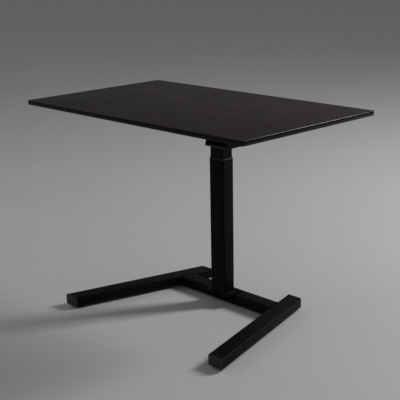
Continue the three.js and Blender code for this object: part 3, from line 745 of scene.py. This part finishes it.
SOCKET_SIDES = 24
RECESS_TAPER = 0.96
RECESS_LAND = 1.25  # radius of the head's flat top, as a share of the recess's
CROSS_LOBE = 0.2  # half a lobe's width, in radians
CROSS_WAIST = 0.42
SCREW_PITCH = 1.25 * MM
SCREW_TIP = 0.5 * MM
THREADED_SHARE = 0.6
TIP_SHARE, ROOT_SHARE = 0.7, 0.86  # of the shank's radius
HEAD_EDGE = 0.3 * MM
HEAD_SIDE = 0.35  # share of the head's height where its dome starts
RECESS_RIM = 0.05 * MM
GUSSET_INSET = (14 * MM, 11 * MM)
GUSSET_SCREW_LENGTH = 2 * MM
NUT_BORE = 5.2 * MM
NUT_EDGE = 0.5 * MM
NUT_STEPS = 48
NUT_FACE, NUT_CORNER = 0.99, 1.16  # shares of half the width across the flats


def fastener(head, head_height, shank, recess, across, deep):
    """The sizes that screw() takes; radii, heights and depths in millimetres."""
    return {
        "head": head * MM,
        "head_height": head_height * MM,
        "shank": shank * MM,
        "recess": (recess, across * MM, deep * MM),
    }


M8 = fastener(6.5, 5, 4, "hexagon", 2.9, 2.6)
M6 = fastener(5, 3.5, 3, "hexagon", 2.3, 2)
M6_LOW = fastener(5, 2.6, 3, "hexagon", 2.0, 1.4)
WOOD = fastener(4.5, 2.5, 2.2, "cross", 2.3, 1.6)
SMALL = fastener(1.7, 1.1, 0.9, "cross", 1.0, 0.6)


def from_middle(angle, sector):
    """The angle from the middle of the sector that it falls in."""
    return (angle + sector / 2) % sector - sector / 2


def recess_outline(kind, radius):
    """Points of a hexagon or cross recess, one for each of SOCKET_SIDES directions."""
    points = []
    for a in turns(SOCKET_SIDES):
        if kind == "hexagon":
            reach = radius * math.cos(math.pi / 6) / math.cos(from_middle(a, math.pi / 3))
        else:
            reach = radius * (1.0 if abs(from_middle(a, math.pi / 2)) < CROSS_LOBE else CROSS_WAIST)
        points.append((reach * math.cos(a), reach * math.sin(a)))
    return points


def screw_profile(head, head_height, shank, length, rise):
    """(radius, height) pairs from the tip to the flat round the recess."""
    tip = SCREW_TIP - length
    count = max(int(length * THREADED_SHARE / SCREW_PITCH), 1)
    profile = [(shank * TIP_SHARE, -length)]
    for i in range(count):
        profile.append((shank * ROOT_SHARE, tip + i * SCREW_PITCH))
        profile.append((shank, tip + (i + 0.5) * SCREW_PITCH))
    profile += [(shank, tip + count * SCREW_PITCH), (shank, 0)]
    profile += [(head - HEAD_EDGE, 0), (head, HEAD_EDGE), (head, head_height * HEAD_SIDE)]
    steps = 5
    for i in range(1, steps + 1):
        a = math.pi / 2 * i / steps
        dome = HEAD_SIDE + (1 - HEAD_SIDE) * math.sin(a)
        profile.append((rise + (head - rise) * math.cos(a), head_height * dome))
    return profile


def screw(name, node, place, out, head, head_height, shank, length, recess, body=None, slot=None):
    """A screw whose head sticks out along `out` from its seat at `place`."""
    turn = Matrix.Translation(place) @ Vector(out).to_track_quat("Z", "Y").to_matrix().to_4x4()
    kind, recess_radius, recess_depth = recess
    profile = screw_profile(head, head_height, shank, length, recess_radius * RECESS_LAND)
    sections = [(circle(radius, SOCKET_SIDES), z) for radius, z in profile]
    bottom_radius = recess_radius * RECESS_TAPER
    sections.append((recess_outline(kind, recess_radius), head_height - RECESS_RIM))
    sections.append((recess_outline(kind, bottom_radius), head_height - recess_depth))
    rings = [[turn @ Vector((x, y, z)) for x, y in section] for section, z in sections]
    place_piece(name, skinned(name, rings, smooth_angle=35), node, body=body, slot=slot)


def gusset_screws(side):
    low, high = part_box(f"base_gusset_{side}")
    inset_x, inset_y = GUSSET_INSET
    spots = [
        (x, y, low[2])
        for x in (low[0] + inset_x, high[0] - inset_x)
        for y in (low[1] + inset_y, high[1] - inset_y)
    ]
    for i, spot in enumerate(spots, 1):
        name = f"gusset_screw_{side}_{i}"
        length = GUSSET_SCREW_LENGTH
        screw(name, None, spot, DOWN, length=length, body="base", slot="black_bolt", **M6_LOW)


def build_fasteners():
    from_below = [(f"head_bolt_{c}", M8) for c in CORNERS]
    from_below += [(f"side_bolt_{c}", M6) for c in CORNERS]
    from_below += [(f"top_screw_{c}", WOOD) for c in CORNERS]
    from_below += [(f"housing_screw_{side}", WOOD) for side in SIDE_SIGN]
    for node, kind in from_below:
        low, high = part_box(node)
        x, y, _ = centre_of(node)
        seat = low[2] + kind["head_height"]
        screw(f"fine_{node}", node, (x, y, seat), DOWN, length=high[2] - seat, **kind)
    for side in SIDE_SIGN:
        node = f"saddle_bolt_top_{side}"
        low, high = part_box(node)
        x, y, _ = centre_of(node)
        seat = high[2] - M8["head_height"]
        screw(f"fine_{node}", node, (x, y, seat), UP, length=seat - low[2], **M8)
        node = f"saddle_bolt_front_{side}"
        low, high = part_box(node)
        x, _, z = centre_of(node)
        seat = low[1] + M8["head_height"]
        screw(f"fine_{node}", node, (x, seat, z), FORWARD, length=high[1] - seat, **M8)
        gusset_screws(side)


def build_nut(node):
    low, high = (corner[2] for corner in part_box(node))
    x, y, _ = centre_of(node)
    flat = size_of(node)[0] / 2
    around = turns(NUT_STEPS)
    lower, upper, wide = low + NUT_EDGE, high - NUT_EDGE, NUT_BORE + NUT_EDGE
    outside = [(low, NUT_FACE), (lower, NUT_CORNER), (upper, NUT_CORNER), (high, NUT_FACE)]
    inside = [(high, wide), (upper, NUT_BORE), (lower, NUT_BORE), (low, wide)]
    levels = [
        (z, [min(flat / math.cos(from_middle(a, math.pi / 3)), flat * cap) for a in around])
        for z, cap in outside
    ]
    levels += [(z, [bore] * NUT_STEPS) for z, bore in inside]
    rings = [
        [(x + reach * math.cos(a), y + reach * math.sin(a), z) for a, reach in zip(around, reaches)]
        for z, reaches in levels
    ]
    place_piece(f"fine_{node}", skinned(node, rings, closed=True, smooth_angle=25), node)


# ---- Gas spring ----

CYLINDER_WALL = 1.8 * MM
CYLINDER_FLOOR = 2 * MM
CYLINDER_CHAMFER = (1 * MM, 1.5 * MM)
CYLINDER_FILLET = 1 * MM
GUIDE = {"bore": 5.4 * MM, "height": 8 * MM}
FOOT_GROOVE = {"from_end": 22 * MM, "depth": 0.5 * MM, "half": 2 * MM}
HEAD_GROOVE = {"from_end": 12 * MM, "depth": 1 * MM, "half": 2 * MM}
HEAD_ROUNDING = 3 * MM
ROD = 5 * MM
ROD_THREAD = {
    "root": 4.55 * MM,
    "crest": ROD,
    "pitch": 1 * MM,
    "root_at": 0.25 * MM,
    "crest_at": 0.75 * MM,
}
ROD_THREADED = 13 * MM
ROD_CHAMFER = (0.8 * MM, 1.6 * MM)
PISTON = {"height": 16 * MM, "edge": 0.5 * MM}
PIN = 2 * MM
PIN_FILLET = 0.6 * MM
PIN_BORE = {"radius": 2.4 * MM, "depth": 15 * MM}


def groove(radius, middle, kind):
    half = kind["half"]
    return [(radius, middle - half), (radius - kind["depth"], middle), (radius, middle + half)]


def build_cylinder(place):
    low, high = (corner[2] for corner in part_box("gas_spring_cylinder"))
    radius = size_of("gas_spring_cylinder")[0] / 2
    chamfer, chamfer_height = CYLINDER_CHAMFER
    profile = [(0, low), (radius - chamfer, low), (radius, low + chamfer_height)]
    profile += groove(radius, low + FOOT_GROOVE["from_end"], FOOT_GROOVE)
    profile += groove(radius, high - HEAD_GROOVE["from_end"], HEAD_GROOVE)
    profile += [(radius, high - HEAD_ROUNDING), (radius - HEAD_ROUNDING, high)]
    inside, guide, floor = radius - CYLINDER_WALL, high - GUIDE["height"], low + CYLINDER_FLOOR
    profile += [(GUIDE["bore"], high), (GUIDE["bore"], guide), (inside, guide)]
    profile += [(inside, floor), (0, floor)]
    mesh = turned("cylinder", filleted(profile, CYLINDER_FILLET), place, 56)
    place_piece("fine_gas_spring_cylinder", mesh, "gas_spring_cylinder")


def build_rod(place):
    low, high = (corner[2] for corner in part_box("gas_spring_rod"))
    radius, edge = size_of("gas_spring_rod")[0] / 2, PISTON["edge"]
    chamfer, chamfer_depth = ROD_CHAMFER
    shoulder, bottom = low + PISTON["height"], high - PIN_BORE["depth"]
    profile = [(0, low), (radius - edge, low), (radius, low + edge), (radius, shoulder - edge)]
    profile += [(radius - edge, shoulder), (ROD, shoulder), (ROD, high - ROD_THREADED)]
    profile += thread(high - ROD_THREADED, high - chamfer_depth, **ROD_THREAD)
    profile += [(ROD - chamfer, high), (PIN_BORE["radius"], high)]
    profile += [(PIN_BORE["radius"], bottom), (0, bottom)]
    place_piece("fine_gas_spring_rod", turned("rod", profile, place, 40), "gas_spring_rod")


def build_pin(place):
    low, high = (corner[2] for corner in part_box("release_pin"))
    profile = [(0, low), (PIN, low), (PIN, high), (0, high)]
    mesh = turned("pin", filleted(profile, PIN_FILLET), place, 32)
    place_piece("fine_release_pin", mesh, "release_pin")


def build_gas_spring():
    x, y, _ = centre_of("gas_spring_cylinder")
    place = Matrix.Translation((x, y, 0))
    build_cylinder(place)
    build_rod(place)
    build_pin(place)
    for node in ("rod_nut_upper", "rod_nut_lower"):
        build_nut(node)


# ---- Under-frame ----

PLUG_CORE = {"inset": 2.3 * MM, "depth": 10 * MM}
PLUG_PLATE = {"inset": 0.2 * MM, "off": 0.1 * MM, "proud": 1.8 * MM, "edge": 1 * MM}
PLUG_CORNER = 3 * MM
PLUG_SMALLEST = 0.6 * MM


def beam_plug(name, beam, sign):
    """A plastic plug in a beam's open end: a plate over the cut and a core inside it."""
    low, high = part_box(beam)
    (_, y, z), (_, depth, height) = centre_of(beam), size_of(beam)
    end = high[0] if sign > 0 else low[0]
    core, plate, off = PLUG_CORE["inset"], PLUG_PLATE["inset"], PLUG_PLATE["off"]
    levels = [(core, -PLUG_CORE["depth"]), (core, off), (plate, off)]
    levels += far_end(edge_arc(PLUG_PLATE["edge"]), plate, PLUG_PLATE["proud"])
    rings = section_rings(
        (depth, height),
        PLUG_CORNER,
        levels,
        lambda u, v, out: (end + sign * out, y + sign * u, z + v),
        steps=5,
        smallest=PLUG_SMALLEST,
    )
    place_piece(name, skinned(name, rings, smooth_angle=35), body="lift", slot="black_plastic")


def build_under_frame():
    for end in ENDS:
        softened_copy(f"beam_{end}", edge=0.4 * MM, angle=45)
        for side, sign in SIDE_SIGN.items():
            beam_plug(f"beam_plug_{end}_{side}", f"beam_{end}", sign)
    for side in SIDE_SIGN:
        softened_copy(f"side_bar_{side}", edge=0.7 * MM, segments=3, angle=45)
    softened_copy("head_plate", edge=0.7 * MM, segments=3, angle=45)


# ---- Release ----

# The conduit's points from the release bracket to the paddle, listed in millimetres.
CABLE_ROUTE = (
    (0, 118.7, 843.4),
    (0, 100, 843.4),
    (0, 70, 843.4),
    (2, 40, 843.4),
    (14, 0, 843.4),
    (44, -50, 843.4),
    (90, -104, 843.4),
    (150, -152, 843.4),
    (220, -190, 843.4),
    (300, -216, 843.4),
    (360, -231, 843.4),
    (400, -235, 842.4),
    (434, -236, 837.4),
    (456, -241, 830.4),
    (465, -257.7, 827),
    (465, -269.7, 827),
)
CABLE_STEPS = 10
CABLE_SIDES = 20
CABLE_RADIUS = 2.5 * MM
CABLE_BORE = 1.3 * MM
CLIP_STOPS = (6, 8, 10)  # the route's points that a clip holds
CLIP = {
    "centre": -5.6 * MM,
    "inner": 2.8 * MM,
    "outer": 4.8 * MM,
    "flange": 2.3 * MM,
    "half": 9 * MM,
    "seat": -0.3 * MM,
    "root": 0.8 * MM,
}
CLIP_HALF_WIDTH = 6 * MM
CLIP_EDGE = 0.35 * MM
CLIP_RIM_ANGLE = 50  # in degrees; edges sharper than this are rounded
CLIP_ARC = 12
CLIP_SCREW_LENGTH = 1.6 * MM
CLIP_SCREW_AT = 7.2 * MM

RIB_COUNT = 4
RIB_START = Vector((465, -342.5, 827.1)) * MM
RIB_STEP = Vector((0, 3.6, 1.2)) * MM
RIB_RADIUS = 0.8 * MM
RIB_END = 0.5 * MM
RIB_CHAMFER = 0.4 * MM
RIB_MARGIN = 7 * MM


def smooth_route(points, steps):
    """A centripetal Catmull-Rom curve through the points."""
    points = [2 * points[0] - points[1]] + points + [2 * points[-1] - points[-2]]
    curve = []
    for a, b, c, d in zip(points, points[1:], points[2:], points[3:]):
        t0, t1, t2 = (math.sqrt((q - p).length) for p, q in ((a, b), (b, c), (c, d)))
        start = ((b - a) / t0 - (c - a) / (t0 + t1) + (c - b) / t1) * t1
        end = ((c - b) / t1 - (d - b) / (t1 + t2) + (d - c) / t2) * t1
        square, cube = 3 * (c - b) - 2 * start - end, 2 * (b - c) + start + end
        for i in range(steps):
            t = i / steps
            curve.append(b + start * t + square * t ** 2 + cube * t ** 3)
    return curve + [points[-2]]


def cable_ring(centre, along, radius):
    across = along.cross(Vector(UP)).normalized()
    up = across.cross(along).normalized()
    around = turns(CABLE_SIDES)
    return [centre + radius * (across * math.cos(a) + up * math.sin(a)) for a in around]


def build_cable():
    curve = smooth_route([Vector(p) * MM for p in CABLE_ROUTE], CABLE_STEPS)
    ways = [q - p for p, q in zip(curve, curve[2:])]
    ways = [curve[1] - curve[0]] + ways + [curve[-1] - curve[-2]]
    line = [(point, way.normalized()) for point, way in zip(curve, ways)]
    rings = [cable_ring(point, way, CABLE_RADIUS) for point, way in line]
    rings += [cable_ring(point, way, CABLE_BORE) for point, way in reversed(line)]
    mesh = skinned("cable", rings, closed=True, smooth_angle=50)
    place_piece("fine_release_cable", mesh, "release_cable")


def clip_section(centre, inner, outer, flange, half, seat, root):
    """The clip's outline across the cable, as (across, up) from the board's underside."""
    steps = [math.pi * i / CLIP_ARC for i in range(CLIP_ARC + 1)]
    outside = [(-outer * math.cos(a), centre - outer * math.sin(a)) for a in steps]
    inside = [(inner * math.cos(a), centre - inner * math.sin(a)) for a in steps]
    left = [(-half, seat), (-half, -flange), (-outer - root, -flange), (-outer, -flange - root)]
    right = [(outer, -flange - root), (outer + root, -flange), (half, -flange), (half, seat)]
    return left + outside + right + [(inner, seat)] + inside + [(-inner, seat)]


def build_clip(number, stop):
    before, here, after = (Vector(CABLE_ROUTE[stop + i]) * MM for i in (-1, 0, 1))
    way = Vector((after.x - before.x, after.y - before.y, 0)).normalized()
    across = Vector((-way.y, way.x, 0))
    origin = Vector((here.x, here.y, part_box("top_panel")[0][2]))
    section = clip_section(**CLIP)
    bm = bmesh.new()
    rings = [
        [origin + way * reach + across * u + Vector((0, 0, v)) for u, v in section]
        for reach in (-CLIP_HALF_WIDTH, CLIP_HALF_WIDTH)
    ]
    add_loops(bm, rings)
    bmesh.ops.recalc_face_normals(bm, faces=bm.faces)
    rim = [e for e in bm.edges if e.calc_face_angle(0) > math.radians(CLIP_RIM_ANGLE)]
    round_edges(bm, rim, CLIP_EDGE, 2)
    node = f"cable_clip_{number}"
    mesh = mesh_from(bm, "clip", 30)
    if node in frame["nodes"]:
        place_piece(f"fine_{node}", mesh, node)
    else:
        place_piece(f"fine_{node}", mesh, body="lift", slot="black_plastic")
    for k, sign in enumerate((-1, 1), 1):
        seat = origin + across * sign * CLIP_SCREW_AT - Vector((0, 0, CLIP["flange"]))
        name = f"clip_screw_{number}_{k}"
        length = CLIP_SCREW_LENGTH
        screw(name, None, seat, DOWN, length=length, body="lift", slot="zinc_steel", **SMALL)


def grip_ribs():
    """Raised ribs under the paddle's sloping lip, for the fingertips."""
    half = size_of("release_paddle")[0] / 2 - RIB_MARGIN
    profile = [(0, -half), (RIB_END, -half), (RIB_RADIUS, RIB_CHAMFER - half)]
    profile += [(radius, -height) for radius, height in reversed(profile)]
    for i in range(RIB_COUNT):
        turn = Matrix.Translation(RIB_START + i * RIB_STEP) @ Matrix.Rotation(math.pi / 2, 4, "Y")
        mesh = turned("rib", profile, turn, 20, 40)
        place_piece(f"paddle_rib_{i + 1}", mesh, body="paddle", slot="black_plastic")


def build_release():
    for node in ("release_bracket", "release_rocker", "paddle_housing", "release_paddle"):
        softened_copy(node, edge=0.5 * MM, segments=3)
    for node in ("cable_adjuster", "head_wire_end", "paddle_wire_end"):
        softened_copy(node, edge=0.3 * MM)
    for node in ("paddle_pivot_pin", "rocker_pivot_pin"):
        softened_copy(node, edge=0.4 * MM, segments=3)
    build_cable()
    for number, stop in enumerate(CLIP_STOPS, 1):
        build_clip(number, stop)
    grip_ribs()


build_top()
build_column()
build_foot_frame()
build_fasteners()
build_gas_spring()
build_under_frame()
build_release()
